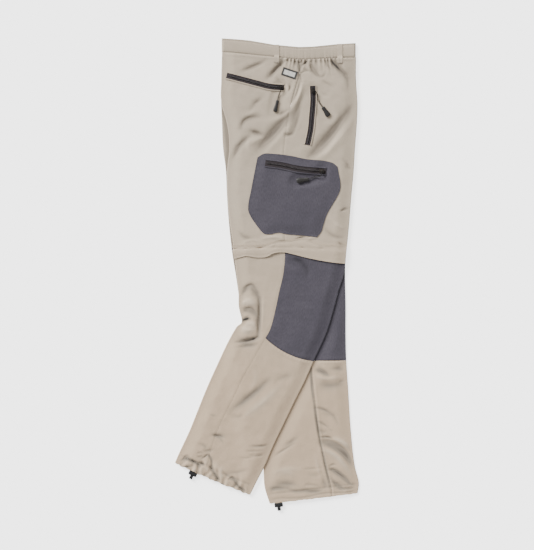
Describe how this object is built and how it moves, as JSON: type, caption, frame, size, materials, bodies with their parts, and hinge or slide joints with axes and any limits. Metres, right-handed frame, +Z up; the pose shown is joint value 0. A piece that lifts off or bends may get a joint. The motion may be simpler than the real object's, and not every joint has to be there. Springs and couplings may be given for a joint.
{
  "type": "convertible zip-off trousers",
  "caption": "Beige zip-off outdoor trousers with grey knees and cargo pocket, laid flat on their side, right leg on top.",
  "frame": {"origin": "under the middle of the laid garment, on the surface that it lies on", "axes": "+Y towards the waist, +X towards the front of the garment, +Z up from the surface"},
  "size_m": [0.4246, 1.0884, 0.0213],
  "materials": {
    "cloth": "matte beige woven nylon",
    "grey_cloth": "matte dark grey melange",
    "zip_tape": "matte woven tape",
    "zip_metal": "dark lacquer",
    "pull": "matte",
    "label": "woven, blank",
    "lock": "satin black"
  },
  "bodies": {
    "trousers": {"waistband_right": "cloth", "waistband_left": "cloth", "back_thigh_right": "cloth", "back_thigh_left": "cloth", "front_thigh_right": "cloth", "front_thigh_left": "cloth", "zip_flap_right": "cloth", "shin_right": "cloth", "shin_left": "cloth", "calf_right": "cloth", "calf_left": "cloth", "loop_side": "cloth", "loop_front": "cloth", "knee_right": "grey_cloth", "knee_left": "grey_cloth", "cargo_pocket": "grey_cloth", "zip_off_right": "zip_tape", "zip_off_left": "zip_tape", "back_zip": "zip_tape", "hand_zip": "zip_tape", "cargo_zip": "zip_tape", "back_slider": "zip_metal", "hand_slider": "zip_metal", "cargo_slider": "zip_metal", "label": "label", "lock_right": "lock", "lock_left": "lock", "button_right": "lock", "button_left": "lock"},
    "back_pull": {"back_cord": "pull", "back_grip": "pull"},
    "hand_pull": {"hand_cord": "pull", "hand_grip": "pull"},
    "cargo_pull": {"cargo_cord": "pull", "cargo_grip": "pull"}
  },
  "joints": [
    {"name": "back_pull_hinge", "type": "hinge", "parent": "trousers", "child": "back_pull", "pos_m": [0.032, 0.4312, 0.01638], "axis": [-0.9994, 0.0352, 0], "range_deg": [0, 120]},
    {"name": "hand_pull_hinge", "type": "hinge", "parent": "trousers", "child": "hand_pull", "pos_m": [0.1054, 0.423, 0.01656], "axis": [0.0463, -0.9989, 0], "range_deg": [0, 120]},
    {"name": "cargo_pull_hinge", "type": "hinge", "parent": "trousers", "child": "cargo_pull", "pos_m": [0.126, 0.2389, 0.0192], "axis": [-0.9973, 0.0731, 0], "range_deg": [0, 120]}
  ]
}
